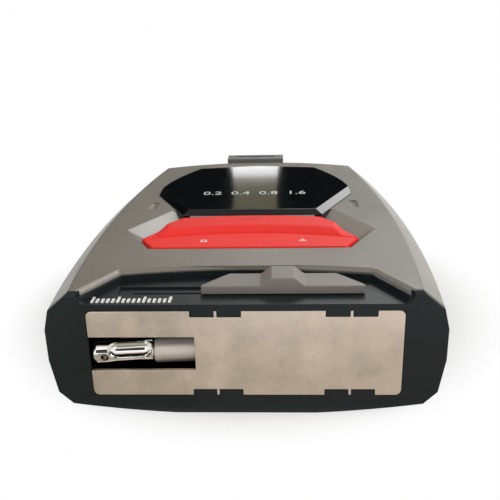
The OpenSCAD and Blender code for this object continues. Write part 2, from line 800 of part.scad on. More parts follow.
// Grey slider with a finger ridge and the stem that reaches through the deck
knob_base_z = deck_z + knob_gap;
knob_top_z = knob_base_z + knob_t;
module shutter_knob() color("#86807a") seat() translate([knob_x, knob_y, 0]) {
    raised(knob_base_z, knob_top_z)
        polygon([[-knob_w / 2, 0], [knob_w / 2, 0], [knob_w / 2, knob_flat],
                 [knob_rear_w / 2, knob_d - knob_corner],
                 [knob_rear_w / 2 - knob_corner, knob_d], [knob_corner - knob_rear_w / 2, knob_d],
                 [-knob_rear_w / 2, knob_d - knob_corner], [-knob_w / 2, knob_flat]]);
    carried(0, knob_d) polygon([[-ridge_foot_w / 2, knob_base_z], [ridge_foot_w / 2, knob_base_z],
        [ridge_foot_w / 2, knob_top_z], [ridge_w / 2, knob_top_z + ridge_h],
        [-ridge_w / 2, knob_top_z + ridge_h], [-ridge_foot_w / 2, knob_top_z]]);
    translate([-stem_l / 2, slot_y - knob_y - slot_w / 2 + stem_play, foot_top_z])
        cube([stem_l, slot_w - 2 * stem_play, knob_top_z - foot_top_z]);
}

// Thin steel sheet that slides behind the plate and closes the fork slot
module shutter_plate() color("#9a9c9e") seat() {
    foot_x0 = shutter_x + shutter_l - foot_w;
    foot_y1 = slot_y + slot_w / 2 - stem_play;
    low_z = plate_mid_z - fork_h / 2 - shutter_lap;
    translate([shutter_x, shutter_y, low_z]) cube([shutter_l, shutter_t, fork_h + 2 * shutter_lap]);
    translate([foot_x0, shutter_y, low_z]) cube([foot_w, shutter_t, foot_top_z - low_z]);
    translate([foot_x0, shutter_y, foot_top_z - shutter_t]) cube([foot_w, foot_y1 - shutter_y, shutter_t]);
}

// The keypad's three fields, each held back from the seams by half a gap
module key_field(name) {
    g = key_gap / 2;
    far = keys_w;
    lean = seam_lean / keys_crease_d;
    side = name == "left" ? -1 : 1;
    if (name == "start") difference() {
        translate([-far, keys_y]) square([2 * far, far]);
        translate([0, keys_axis_y]) circle(r = keys_r + g, $fn = round_fn);
    }
    else intersection() {
        translate([0, keys_axis_y]) circle(r = keys_r - g, $fn = round_fn);
        polygon([[seam_x - seam_lean / 2 - lean * far + side * g, keys_y - far],
                 [seam_x + seam_lean / 2 + lean * far + side * g, keys_crease_y + far],
                 [side * 3 * far, keys_crease_y + far], [side * 3 * far, keys_y - far]]);
    }
}
module key_body(name) {
    raised(key_under_z - key_gap - key_flange_t, key_strip_z) intersection() {
        keypad_2d(key_gap);
        key_field(name);
    }
    raised(key_under_z - key_gap - key_flange_t, key_under_z - key_gap) intersection() {
        keypad_2d(-key_flange);
        key_field(name);
    }
}
module key_post(i) {
    button_z = board_top_z + switch_h + button_h;
    translate([switch_places[i].x, switch_places[i].y, button_z + key_travel + key_gap / 2])
        cylinder(d = button_dia, h = key_under_z - key_flange_t - button_z - key_travel);
}

// Start key with the raised ridge, which falls towards the window
module start_key() color("#f5453c") seat() {
    key_body("start");
    key_post(0);
    r0 = keys_r + key_gap / 2;
    r1 = keys_rear_r - key_gap;
    intersection() {
        raised(top_in_z, reach) keypad_2d(key_gap);
        translate([0, keys_axis_y, 0]) rotate_extrude($fn = round_fn)
            polygon([[r0, top_in_z], [r1, top_in_z], [r1, key_strip_z + key_rear_h],
                     [r0 + key_slope, key_ridge_z], [r0, key_strip_z]]);
        carried(keys_y, reach) polygon([[-key_end_half, top_in_z], [key_end_half, top_in_z],
            [key_end_half, key_strip_z], [key_end_half - key_end_slope, key_ridge_z],
            [key_end_slope - key_end_half, key_ridge_z], [-key_end_half, key_strip_z]]);
    }
}

// Left and right keys of the lower strip
module left_key() color("#f9524a") seat() {
    key_body("left");
    key_post(1);
}
module right_key() color("#f9524a") seat() {
    key_body("right");
    key_post(2);
}

// Carriage on the guide rods, with the clevis for the pickup
module carriage() color("#3c4043") seat() difference() {
    union() {
        translate([pivot_x - block_l / 2, block_front_y, drive_z - block_h / 2])
            cube([block_l, block_d, block_h]);
        for (s = [-1, 1]) translate([pivot_x, pivot_y, drive_z + s * (eye_h / 2 + eye_play + clevis_t / 2)]) {
            cylinder(d = clevis_w, h = clevis_t, center = true);
            translate([-clevis_w / 2, 0, -clevis_t / 2]) cube([clevis_w, drive_y - pivot_y, clevis_t]);
        }
    }
    translate([pivot_x, pivot_y, 0]) cylinder(d = pin_dia, h = reach);
    on_drive() bar(-reach / 2, reach / 2, nut_dia);
    on_drive() for (s = [-1, 1]) translate([0, 0, s * rod_rise])
        bar(-reach / 2, reach / 2, rod_dia + 2 * run_fit);
}

// Bronze nut pressed into the carriage
module lead_nut() color("#b5894a") seat() on_drive() difference() {
    bar(pivot_x - block_l / 2, pivot_x + block_l / 2, nut_dia);
    bar(-reach / 2, reach / 2, screw_dia + 2 * run_fit);
}

// Steel pin that the pickup swings on
module pivot_pin() color("#cfd2d4") seat() {
    pin_h = eye_h + 2 * eye_play + 2 * clevis_t;
    translate([pivot_x, pivot_y, drive_z - pin_h / 2]) cylinder(d = pin_dia, h = pin_h);
}

// Puts a piece on the pickup's line, with the pivot at its origin and the head along -X
module on_pickup() translate([pivot_x, pivot_y, drive_z]) rotate([0, 0, pickup_tilt]) children();

// Chromed skid head with a bowl in its front, on a satin neck with the pivot eye
module pickup() color("#d9dadc") seat() on_pickup() difference() {
    union() {
        cylinder(d = eye_dia, h = eye_h, center = true);
        bar(-shank_l, 0, shank_dia);
        translate([0, neck_back, -neck_drop]) bar(-head_start, -shank_l, neck_dia);
        translate([-head_start, 0, 0]) rotate([0, -90, 0]) rotate_extrude() polygon(head_profile);
    }
    translate([0, 0, -eye_h]) cylinder(d = pin_dia + 2 * run_fit, h = 2 * eye_h);
    rotate([bowl_turn, 0, 0]) translate([-bowl_mid, 0, bowl_axis]) rotate([0, bowl_lean - 90, 0])
        rotate_extrude() polygon(bowl_profile);
    translate([0, 0, -stylus_drop]) {
        bar(-stylus_reach - lever_dia, -stylus_reach + lever_l + lever_dia, stylus_bore);
        translate([-stylus_reach, 0, hole_rise]) rotate([90, 0, 0]) cylinder(d = stylus_hole, h = head_dia);
    }
}

// Stylus lever with its conical tip
module stylus() color("#777b80") seat() on_pickup() translate([0, 0, -stylus_drop]) {
    pin_l = head_r - tip_back - tip_cone;
    bar(-stylus_reach - lever_dia / 2, -stylus_reach + lever_l, lever_dia);
    translate([-stylus_reach + lever_l, 0, 0]) cylinder(d = barrel_dia, h = barrel_h, center = true);
    translate([-stylus_reach, 0, 0]) rotate([90, 0, 0]) {
        cylinder(d = lever_dia, h = pin_l);
        translate([0, 0, pin_l]) cylinder(d1 = lever_dia, d2 = tip_dia, h = tip_cone);
    }
}

// Lead screw between the gear head and the bush
module lead_screw() color("#c9cbcd") seat() on_drive() {
    bar(gear_face_x + bracket_t + screw_end_play, end_plate_x - bush_flange_t - screw_end_play, screw_dia);
    bar(gear_face_x - journal_l, end_plate_x + bracket_t, journal_dia);
}

lower_case();
front_frame();
top_cover();
base_plate();
display_window();
display_module();
main_board();
battery_pack();
tact_switches();
charge_socket();
buzzer();
strap_lug();
case_screws();
drive_bracket();
drive_motor();
gear_head();
guide_rods();
screw_bearing();
bracket_screws();
shutter_knob();
shutter_plate();
start_key();
left_key();
right_key();
carriage();
lead_nut();
pivot_pin();
pickup();
stylus();
lead_screw();
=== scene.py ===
import math
import bpy
from mathutils import Matrix, Vector


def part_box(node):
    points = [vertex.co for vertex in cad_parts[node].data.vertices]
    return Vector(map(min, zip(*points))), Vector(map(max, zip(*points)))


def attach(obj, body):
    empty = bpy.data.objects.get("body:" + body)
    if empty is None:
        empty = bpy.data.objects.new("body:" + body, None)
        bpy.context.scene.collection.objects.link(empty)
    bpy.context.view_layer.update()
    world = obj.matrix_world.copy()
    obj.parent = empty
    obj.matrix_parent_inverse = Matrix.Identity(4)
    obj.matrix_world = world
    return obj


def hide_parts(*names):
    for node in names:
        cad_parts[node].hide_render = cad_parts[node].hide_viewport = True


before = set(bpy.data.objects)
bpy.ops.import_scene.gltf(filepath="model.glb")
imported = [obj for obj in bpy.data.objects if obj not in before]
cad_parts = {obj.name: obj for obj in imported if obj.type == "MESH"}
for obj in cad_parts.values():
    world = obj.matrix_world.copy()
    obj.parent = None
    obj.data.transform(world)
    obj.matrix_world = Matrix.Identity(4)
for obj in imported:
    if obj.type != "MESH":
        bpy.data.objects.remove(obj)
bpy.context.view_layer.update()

# Studio
# A pale sweep that fades to white close to the part, with soft lamps behind, on the right and in front.
# Black felt, toned paper and bright panels stand round about, and only reflections can see them.
scene = bpy.context.scene
scene.view_settings.view_transform = "Standard"
floor_size = 60.0
fade_start = 0.040
fade_end = 0.068
paper_white = (0.95, 0.95, 0.95, 1)
sky_white = (1, 1, 1, 1)
room_warm = (1.0, 0.98, 0.94, 1)
room_light = 0.40
lamp_aim = Vector((0, 0, 0.01))


def node_tree(owner, output="ShaderNodeOutputMaterial"):
    """The emptied node tree of a material or a world, with its output node."""
    owner.use_nodes = True
    tree = owner.node_tree
    tree.nodes.clear()
    return tree, tree.nodes.new(output)


def link(tree, *pairs):
    """Joins sockets in a node tree, each pair from an output to an input."""
    for start, end in pairs:
        tree.links.new(start, end)


def add_math(tree, operation, first, second):
    """A math node on two inputs, each a socket or a number."""
    node = tree.nodes.new("ShaderNodeMath")
    node.operation = operation
    for socket, value in zip(node.inputs, (first, second)):
        if isinstance(value, bpy.types.NodeSocket):
            tree.links.new(value, socket)
        else:
            socket.default_value = value
    return node.outputs[0]


def seen_mask(tree):
    """One for rays from the eye, from gloss and through glass, and zero for the rest."""
    path = tree.nodes.new("ShaderNodeLightPath")
    eye_or_gloss = add_math(tree, "MAXIMUM", path.outputs["Is Camera Ray"], path.outputs["Is Glossy Ray"])
    return add_math(tree, "MAXIMUM", eye_or_gloss, path.outputs["Is Transmission Ray"])


bpy.ops.object.select_all(action="DESELECT")
bpy.ops.mesh.primitive_plane_add(size=floor_size)
floor = bpy.context.object
floor.name = "studio_floor"
sweep = bpy.data.materials.new("pale_sweep")
tree, out = node_tree(sweep)
coord = tree.nodes.new("ShaderNodeTexCoord")
length = tree.nodes.new("ShaderNodeVectorMath")
length.operation = "LENGTH"
fade = tree.nodes.new("ShaderNodeMapRange")
fade.interpolation_type = "SMOOTHSTEP"
fade.inputs["From Min"].default_value = fade_start
fade.inputs["From Max"].default_value = fade_end
paper = tree.nodes.new("ShaderNodeBsdfDiffuse")
paper.inputs["Color"].default_value = paper_white
white = tree.nodes.new("ShaderNodeEmission")
mix = tree.nodes.new("ShaderNodeMixShader")
link(tree, (coord.outputs["Object"], length.inputs[0]), (length.outputs["Value"], fade.inputs["Value"]),
     (add_math(tree, "MULTIPLY", fade.outputs["Result"], seen_mask(tree)), mix.inputs["Fac"]),
     (paper.outputs[0], mix.inputs[1]), (white.outputs[0], mix.inputs[2]),
     (mix.outputs[0], out.inputs["Surface"]))
floor.data.materials.append(sweep)

scene.world = bpy.data.worlds.new("studio_world")
tree, out = node_tree(scene.world, "ShaderNodeOutputWorld")
sky = tree.nodes.new("ShaderNodeBackground")
sky.inputs["Color"].default_value = sky_white
room = tree.nodes.new("ShaderNodeBackground")
room.inputs["Strength"].default_value = room_light
room.inputs["Color"].default_value = room_warm
mix = tree.nodes.new("ShaderNodeMixShader")
link(tree, (seen_mask(tree), mix.inputs["Fac"]), (room.outputs[0], mix.inputs[1]),
     (sky.outputs[0], mix.inputs[2]), (mix.outputs[0], out.inputs["Surface"]))


def soft_lamp(name, place, width, height, watts, mirrored=True):
    """A large area lamp that points at the part. One that isn't mirrored is hidden from reflections."""
    data = bpy.data.lights.new(name, "AREA")
    data.shape = "RECTANGLE"
    data.size = width
    data.size_y = height
    data.energy = watts
    lamp = bpy.data.objects.new(name, data)
    lamp.location = place
    lamp.rotation_euler = (lamp_aim - Vector(place)).to_track_quat("-Z", "Y").to_euler()
    lamp.visible_glossy = mirrored
    scene.collection.objects.link(lamp)


soft_lamp("rear_lamp", place=(0.17, 0.80, 0.78), width=0.36, height=0.30, watts=2.5)
soft_lamp("right_lamp", place=(0.58, -0.02, 0.19), width=0.30, height=0.30, watts=1.95, mirrored=False)
soft_lamp("front_lamp", place=(-0.10, -0.75, 0.42), width=0.70, height=0.40, watts=1.8)


def block(name, x, y, z):
    """A box between two places on each axis, selected and active, with its place in its mesh."""
    low, high = (Vector(corner) for corner in zip(x, y, z))
    bpy.ops.object.select_all(action="DESELECT")
    bpy.ops.mesh.primitive_cube_add(size=1, location=(low + high) / 2)
    piece = bpy.context.object
    piece.name = name
    piece.dimensions = high - low
    bpy.ops.object.transform_apply(location=True, rotation=True, scale=True)
    return piece


def bevel_block(offset, segments):
    """Bevels every edge of the block that was just made."""
    bpy.ops.object.mode_set(mode="EDIT")
    bpy.ops.mesh.bevel(offset=offset, segments=segments)
    bpy.ops.object.mode_set(mode="OBJECT")


def mirror_card(name, x, y, z, tone, corner=0.0):
    """A card of one tone that only reflections can see, with its corners rounded where that is asked."""
    card = block(name, x, y, z)
    if corner:
        bevel_block(corner, segments=8)
    cloth = bpy.data.materials.new(name)
    tree, out = node_tree(cloth)
    felt = tree.nodes.new("ShaderNodeEmission")
    felt.inputs["Color"].default_value = tone + (1,)
    link(tree, (felt.outputs[0], out.inputs["Surface"]))
    card.data.materials.append(cloth)
    card.visible_camera = False
    card.visible_diffuse = False
    card.visible_shadow = False


felt_black = (0.006, 0.006, 0.006)
near_row = (0.80, 0.82)
middle_row = (0.83, 0.84)
far_row = (0.85, 0.86)
felt_band = (0.195, 0.325)
felt_corner = 0.05
gap_x = (-0.14, 0.08)
table_split = -0.010
table_front = -0.094
table_y = (table_front, -0.0555)
table_skin = (0.0002, 0.0004)
mirror_card("rear_card_left", x=(-1.2, -0.064), y=near_row, z=felt_band, tone=felt_black, corner=felt_corner)
mirror_card("rear_card_right", x=(0.002, 0.47), y=near_row, z=felt_band, tone=felt_black, corner=felt_corner)
mirror_card("rear_card_low", x=(-1.2, -0.12), y=middle_row, z=(0.02, 0.20), tone=felt_black)
mirror_card("rear_card_foot", x=(-0.12, 0.06), y=middle_row, z=(0.02, 0.212), tone=felt_black)
mirror_card("rear_card_olive", x=gap_x, y=far_row, z=(0.243, 0.36), tone=(0.43, 0.41, 0.27))
mirror_card("rear_card_bright", x=gap_x, y=far_row, z=(0.20, 0.243), tone=(3.8, 3.8, 3.8))
mirror_card("bevel_card_right", x=(0.22, 0.38), y=near_row, z=(0.40, 0.53), tone=(3.4, 3.4, 3.4))
mirror_card("bevel_card_left", x=(-0.50, -0.20), y=near_row, z=(0.36, 0.58), tone=felt_black)
mirror_card("bevel_card_top", x=(-0.28, 0.20), y=(0.44, 0.46), z=(0.60, 0.82), tone=(0.34, 0.30, 0.30))
mirror_card("arch_card", x=(0.45, 0.47), y=(0.10, 0.42), z=(0.38, 0.72), tone=(7.0, 7.0, 7.2))
mirror_card("table_card_left", x=(-0.09, table_split), y=table_y, z=table_skin, tone=(0.39, 0.37, 0.31))
mirror_card("table_card_right", x=(table_split, 0.07), y=table_y, z=table_skin, tone=(0.51, 0.485, 0.43))
mirror_card("bowl_card", x=(-0.050, -0.018), y=(-0.40, table_front), z=table_skin, tone=(0.24, 0.235, 0.18))
mirror_card("eye_card", x=(-0.16, 0.20), y=(-0.52, -0.50), z=(0.10, 0.40), tone=(0.05, 0.05, 0.05))

# Camera
# Placed where the photograph was taken from: 12 cm in front of the measuring face and 8 cm above the table,
# looking down by about 21 degrees, with a slight turn and roll.
eye_place = Vector((0.00715, -0.17247, 0.07986))
eye_down = math.radians(20.81)
eye_turn = math.radians(-2.75)
eye_roll = math.radians(-1.44)
focal_px = 693.1
photo_width_px = 500
ahead = Vector((math.sin(eye_turn) * math.cos(eye_down), math.cos(eye_turn) * math.cos(eye_down),
                -math.sin(eye_down)))
level = Vector((math.cos(eye_turn), -math.sin(eye_turn), 0))
upright = level.cross(ahead)
side = math.cos(eye_roll) * level + math.sin(eye_roll) * upright
top = -math.sin(eye_roll) * level + math.cos(eye_roll) * upright
eye_data = bpy.data.cameras.new("eye")
eye_data.lens = focal_px / photo_width_px * eye_data.sensor_width
eye = bpy.data.objects.new("eye", eye_data)
eye.matrix_world = Matrix.Translation(eye_place) @ Matrix((side, top, -ahead)).transposed().to_4x4()
scene.collection.objects.link(eye)
scene.camera = eye

# Lower case
# The black tray that closes the instrument from below, moulded in plastic with a fine spark grain.
# Four screws from below hold it to the cover.
noise_middle = 0.5
cloud_scale = 55
cloud_to_roughness = 0.25
grain_depth = 0.0002
weld_gap = 0.000002
flat_angle = math.radians(0.2)


def surface_group(name, *inputs):
    """A node group with its named inputs that puts out a colour, a roughness and a height."""
    group = bpy.data.node_groups.new(name, "ShaderNodeTree")
    outputs = (("Color", "NodeSocketColor"), ("Roughness", "NodeSocketFloat"), ("Height", "NodeSocketFloat"))
    for way, sockets in (("INPUT", inputs), ("OUTPUT", outputs)):
        for socket, kind in sockets:
            group.interface.new_socket(socket, in_out=way, socket_type=kind)
    return group, group.nodes.new("NodeGroupInput"), group.nodes.new("NodeGroupOutput")


def grain_group():
    """Spark grain of a mould: a colour that drifts a little, a roughness and a height."""
    group, given, result = surface_group(
        "mould_grain", ("Color", "NodeSocketColor"), ("Drift", "NodeSocketFloat"),
        ("Grain Scale", "NodeSocketFloat"), ("Roughness", "NodeSocketFloat"))
    coord = group.nodes.new("ShaderNodeTexCoord")
    grain = group.nodes.new("ShaderNodeTexNoise")
    grain.inputs["Detail"].default_value = 3
    cloud = group.nodes.new("ShaderNodeTexNoise")
    cloud.inputs["Scale"].default_value = cloud_scale
    cloud.inputs["Detail"].default_value = 4
    link(group, (coord.outputs["Object"], grain.inputs["Vector"]),
         (coord.outputs["Object"], cloud.inputs["Vector"]),
         (given.outputs["Grain Scale"], grain.inputs["Scale"]))
    around = add_math(group, "SUBTRACT", cloud.outputs["Fac"], noise_middle)
    speck = add_math(group, "SUBTRACT", grain.outputs["Fac"], noise_middle)
    drift = add_math(group, "MULTIPLY", add_math(group, "ADD", around, speck), given.outputs["Drift"])
    tint = group.nodes.new("ShaderNodeHueSaturation")
    patch = add_math(group, "MULTIPLY", around, cloud_to_roughness)
    link(group, (given.outputs["Color"], tint.inputs["Color"]),
         (add_math(group, "ADD", drift, 1.0), tint.inputs["Value"]),
         (tint.outputs["Color"], result.inputs["Color"]),
         (add_math(group, "ADD", patch, given.outputs["Roughness"]), result.inputs["Roughness"]),
         (grain.outputs["Fac"], result.inputs["Height"]))
    return group


mould_grain = grain_group()


def linear(red, green, blue):
    """A colour as a screen shows it, from 0 to 255, in the renderer's linear light."""
    shares = [channel / 255 for channel in (red, green, blue)]
    return tuple(s / 12.92 if s <= 0.04045 else ((s + 0.055) / 1.055) ** 2.4 for s in shares) + (1,)


def skinned(name, group, values, bump, depth):
    """A material whose colour, roughness and relief come from a surface group, and its shader."""
    material = bpy.data.materials.new(name)
    tree, out = node_tree(material)
    shader = tree.nodes.new("ShaderNodeBsdfPrincipled")
    skin = tree.nodes.new("ShaderNodeGroup")
    skin.node_tree = group
    for socket, value in values.items():
        skin.inputs[socket].default_value = value
    relief = tree.nodes.new("ShaderNodeBump")
    relief.inputs["Strength"].default_value = bump
    relief.inputs["Distance"].default_value = depth
    link(tree, (skin.outputs["Color"], shader.inputs["Base Color"]),
         (skin.outputs["Roughness"], shader.inputs["Roughness"]),
         (skin.outputs["Height"], relief.inputs["Height"]),
         (relief.outputs["Normal"], shader.inputs["Normal"]), (shader.outputs[0], out.inputs["Surface"]))
    return material, shader


def moulded(name, colour, roughness, drift=0.10, grain=3200, bump=0.06, specular=0.5):
    """Moulded plastic of one colour with the mould's grain."""
    values = {"Color": colour, "Drift": drift, "Grain Scale": grain, "Roughness": roughness}
    material, shader = skinned(name, mould_grain, values, bump, grain_depth)
    shader.inputs["Specular IOR Level"].default_value = specular
    return material


def round_sharp(piece, edge, angle, segments):
    """Rounds all edges sharper than an angle, as far as the short ones among them let it."""
    bevel = piece.modifiers.new("edge", "BEVEL")
    bevel.width = edge
    bevel.segments = segments
    bevel.limit_method = "ANGLE"
    bevel.angle_limit = angle
    bevel.use_clamp_overlap = True
    bpy.ops.object.modifier_apply(modifier="edge")


def round_shown(mesh, edge, angle, segments, shows):
    """Rounds in full those edges sharper than an angle that shows() picks by their middle and length."""
    bpy.ops.object.mode_set(mode="EDIT")
    bpy.ops.mesh.select_all(action="DESELECT")
    bpy.ops.mesh.select_mode(type="EDGE")
    bpy.ops.mesh.edges_select_sharp(sharpness=angle)
    bpy.ops.object.mode_set(mode="OBJECT")
    for line in mesh.edges:
        first, second = (mesh.vertices[i].co for i in line.vertices)
        line.select = line.select and shows((first + second) / 2, (first - second).length)
    for part in (*mesh.vertices, *mesh.polygons):
        part.select = False
    bpy.ops.object.mode_set(mode="EDIT")
    bpy.ops.mesh.bevel(offset=edge, segments=segments, clamp_overlap=False)
    bpy.ops.mesh.select_all(action="SELECT")
    bpy.ops.mesh.quads_convert_to_tris(quad_method="BEAUTY", ngon_method="BEAUTY")
    bpy.ops.object.mode_set(mode="OBJECT")


def finished(node, name, body, material, edge, angle=28, segments=3, shows=None):
    """A merged copy of a CAD solid with its edges rounded, which stands for that solid."""
    bpy.ops.object.select_all(action="DESELECT")
    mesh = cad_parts[node].data.copy()
    mesh.materials.clear()
    piece = bpy.data.objects.new(name, mesh)
    scene.collection.objects.link(piece)
    bpy.context.view_layer.objects.active = piece
    piece.select_set(True)
    bpy.ops.object.mode_set(mode="EDIT")
    bpy.ops.mesh.select_all(action="SELECT")
    bpy.ops.mesh.remove_doubles(threshold=weld_gap)
    bpy.ops.mesh.dissolve_limited(angle_limit=flat_angle)
    bpy.ops.object.mode_set(mode="OBJECT")
    if shows:
        round_shown(mesh, edge, math.radians(angle), segments, shows)
    else:
        round_sharp(piece, edge, math.radians(angle), segments)
    bpy.ops.object.shade_smooth_by_angle(angle=math.radians(angle))
    normals = piece.modifiers.new("flat_faces", "WEIGHTED_NORMAL")
    normals.keep_sharp = True
    bpy.ops.object.modifier_apply(modifier="flat_faces")
    piece.data.materials.append(material)
    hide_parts(node)
    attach(piece, body)


case_black = moulded("case_black", linear(25, 32, 33), roughness=0.40, specular=0.28)
finished("lower_case", "lower_case_moulding", "case", case_black, edge=0.00035)

# Front frame
# The black nose that holds the base plate, with four pairs of lugs over the plate's edges and the deck
# that the slider runs on. It plugs into the case with a spigot.
finished("front_frame", "front_frame_moulding", "case", case_black, edge=0.00022, segments=2)

# Tick scale
# Sixteen strokes of white ink printed on the deck in front of the slider, one millimetre apart,
# with every fifth stroke longer.
tick_count = 16
tick_group = 5
tick_pitch = 0.001
tick_w = 0.00055
tick_ink = 0.00002
tick_bevel = tick_w / 4
tick_x = -0.0295
tick_y = -0.05335
tick_short = 0.0018
tick_long = 0.0026
deck_z = 0.0239


def printed(name, colour):
    """Screen-printed ink that lies a little unevenly, also used for the start key's ring of painted shade."""
    return moulded(name, colour, roughness=0.5, drift=0.16, grain=5200, bump=0.03)


def stroke(name, left, length):
    """One stroke of ink on the deck, with every edge bevelled."""
    piece = block(name, x=(left, left + tick_w), y=(tick_y, tick_y + length), z=(deck_z, deck_z + tick_ink))
    bevel_block(tick_bevel, segments=3)
    return piece


def repeated(piece, count, step):
    """Repeats the active piece along X."""
    row = piece.modifiers.new("row", "ARRAY")
    row.count = count
    row.use_relative_offset = False
    row.use_constant_offset = True
    row.constant_offset_displace = (step, 0, 0)
    bpy.ops.object.modifier_apply(modifier="row")


scale_white = printed("scale_white", linear(238, 238, 236))
long_ticks = stroke("scale_ticks_long", tick_x, tick_long)
repeated(long_ticks, tick_count // tick_group + 1, tick_group * tick_pitch)
short_ticks = stroke("scale_ticks_short", tick_x + tick_pitch, tick_short)
repeated(short_ticks, tick_group - 1, tick_pitch)
repeated(short_ticks, tick_count // tick_group, tick_group * tick_pitch)
for ticks in (long_ticks, short_ticks):
    ticks.data.materials.append(scale_white)
    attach(ticks, "case")

# Top cover
# The grey upper shell, moulded in a satin plastic, with a chamfered arch over the deck
# and two facets that fall to the keypad.
short_edge = 0.0003
crown_z = 0.0249
rim_x = 0.0284
tail_y = 0.042
arch_end_x = 0.0255
arch_end_y = -0.042
facet_x = 0.0225
facet_front_y = -0.0315
facet_rear_y = -0.002
facet_z = 0.0262


def cover_shows(place, length):
    """The edges of the cover that are rounded: the rim, the tail, the ends of the arch and the facets."""
    across = abs(place.x)
    rim = across > rim_x or place.y > tail_y
    arch_end = across > arch_end_x and place.y < arch_end_y
    facet = across > facet_x and facet_front_y < place.y < facet_rear_y and place.z > facet_z
    return length > short_edge and place.z > crown_z and (rim or arch_end or facet)


cover_grey = moulded("cover_grey", linear(134, 129, 119), roughness=0.33, drift=0.07, specular=0.42)
finished("top_cover", "top_cover_moulding", "case", cover_grey, edge=0.0004, angle=14,
         shows=cover_shows)

# Base plate
# The steel plate that is set down on the work, stamped with a fork slot and notches for the frame's lugs.
# It is nickel plated over a blasted face, so it shines softly and is a little mottled.
speck_scale = 2400
speck_share = 0.5
patch_scale = 160
patch_break_up = 0.65
mottle_to_roughness = 0.6
metal_bump = 0.04
metal_depth = 0.0001


def metal_group():
    """Mottled metal: a colour with fine specks and soft patches, a roughness and a height."""
    group, given, result = surface_group(
        "worked_metal", ("Color", "NodeSocketColor"), ("Stretch", "NodeSocketVector"),
        ("Mottle", "NodeSocketFloat"), ("Roughness", "NodeSocketFloat"))
    coord = group.nodes.new("ShaderNodeTexCoord")
    drawn = group.nodes.new("ShaderNodeVectorMath")
    drawn.operation = "MULTIPLY"
    speck = group.nodes.new("ShaderNodeTexNoise")
    speck.inputs["Scale"].default_value = speck_scale
    speck.inputs["Detail"].default_value = 4
    patch = group.nodes.new("ShaderNodeTexNoise")
    patch.inputs["Scale"].default_value = patch_scale
    patch.inputs["Detail"].default_value = 5
    patch.inputs["Roughness"].default_value = patch_break_up
    link(group, (coord.outputs["Object"], drawn.inputs[0]), (given.outputs["Stretch"], drawn.inputs[1]),
         (drawn.outputs["Vector"], speck.inputs["Vector"]), (coord.outputs["Object"], patch.inputs["Vector"]))
    around = add_math(group, "SUBTRACT", speck.outputs["Fac"], noise_middle)
    fine = add_math(group, "MULTIPLY", around, speck_share)
    soft = add_math(group, "SUBTRACT", patch.outputs["Fac"], noise_middle)
    mottle = add_math(group, "MULTIPLY", add_math(group, "ADD", fine, soft), given.outputs["Mottle"])
    tint = group.nodes.new("ShaderNodeHueSaturation")
    uneven = add_math(group, "MULTIPLY", mottle, mottle_to_roughness)
    link(group, (given.outputs["Color"], tint.inputs["Color"]),
         (add_math(group, "ADD", mottle, 1.0), tint.inputs["Value"]),
         (tint.outputs["Color"], result.inputs["Color"]),
         (add_math(group, "ADD", uneven, given.outputs["Roughness"]), result.inputs["Roughness"]),
         (speck.outputs["Fac"], result.inputs["Height"]))
    return group


worked_metal = metal_group()


def metal(name, colour, roughness, mottle=0.15, stretch=(1, 1, 1)):
    """Bare or plated metal of one colour, drawn out along the axes with a small stretch."""
    values = {"Color": colour, "Mottle": mottle, "Roughness": roughness, "Stretch": stretch}
    material, shader = skinned(name, worked_metal, values, metal_bump, metal_depth)
    shader.inputs["Metallic"].default_value = 1
    return material


plate_nickel = metal("plate_nickel", linear(226, 211, 197), roughness=0.42, mottle=0.5)
finished("base_plate", "base_plate_sheet", "case", plate_nickel, edge=0.00012, segments=2)

# Display window
# One pane of black acrylic with bevelled near edges, polished, dropped into the cover and bonded.
# A row of plain numbers is printed on it in white.
window_black = linear(8, 11, 13)
window_roughness = 0.045
wipe_scale = 70
wipe_to_roughness = 0.05
wipe_to_colour = 1.5
number_row = "0.2  0.4  0.8  1.6"
number_h = 0.0030
number_y = 0.0096
number_ink = 0.00001
figure_share = 0.7


def polished(name, colour, roughness):
    """Polished plastic with faint wipe marks in its colour and its gloss."""
    material = bpy.data.materials.new(name)
    tree, out = node_tree(material)
    shader = tree.nodes.new("ShaderNodeBsdfPrincipled")
    coord = tree.nodes.new("ShaderNodeTexCoord")
    wipe = tree.nodes.new("ShaderNodeTexNoise")
    wipe.inputs["Scale"].default_value = wipe_scale
    wipe.inputs["Detail"].default_value = 6
    film = tree.nodes.new("ShaderNodeMixRGB")
    film.inputs["Color1"].default_value = colour
    film.inputs["Color2"].default_value = tuple(wipe_to_colour * share for share in colour[:3]) + (1,)
    smudge = add_math(tree, "MULTIPLY", wipe.outputs["Fac"], wipe_to_roughness)
    link(tree, (coord.outputs["Object"], wipe.inputs["Vector"]), (wipe.outputs["Fac"], film.inputs["Fac"]),
         (film.outputs["Color"], shader.inputs["Base Color"]),
         (add_math(tree, "ADD", smudge, roughness), shader.inputs["Roughness"]),
         (shader.outputs[0], out.inputs["Surface"]))
    return material


def lettered(name, words, height, place):
    """Flat printed characters of one height, centred on a place and made a mesh."""
    bpy.ops.object.select_all(action="DESELECT")
    bpy.ops.object.text_add(location=place)
    piece = bpy.context.object
    piece.name = name
    piece.data.body = words
    piece.data.size = height / figure_share
    piece.data.align_x = "CENTER"
    piece.data.align_y = "CENTER"
    piece.data.extrude = number_ink
    piece.data.resolution_u = 4
    bpy.ops.object.convert(target="MESH")
    bpy.ops.object.transform_apply(location=True, rotation=True, scale=True)
    return piece


window_gloss = polished("window_gloss", window_black, window_roughness)
finished("display_window", "window_pane", "case", window_gloss, edge=0.00012, angle=14)
window_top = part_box("display_window")[1][2]
numbers = lettered("window_numbers", number_row, number_h, (0, number_y, window_top + number_ink))
numbers.data.materials.append(printed("number_white", linear(214, 217, 217)))
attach(numbers, "case")

# Keys
# Three soft red keys in one opening: a ridged start key behind and two lower keys in front, moulded
# in silicone rubber with a matt skin, each with a post that reaches down to its switch.
key_flange_z = 0.0243


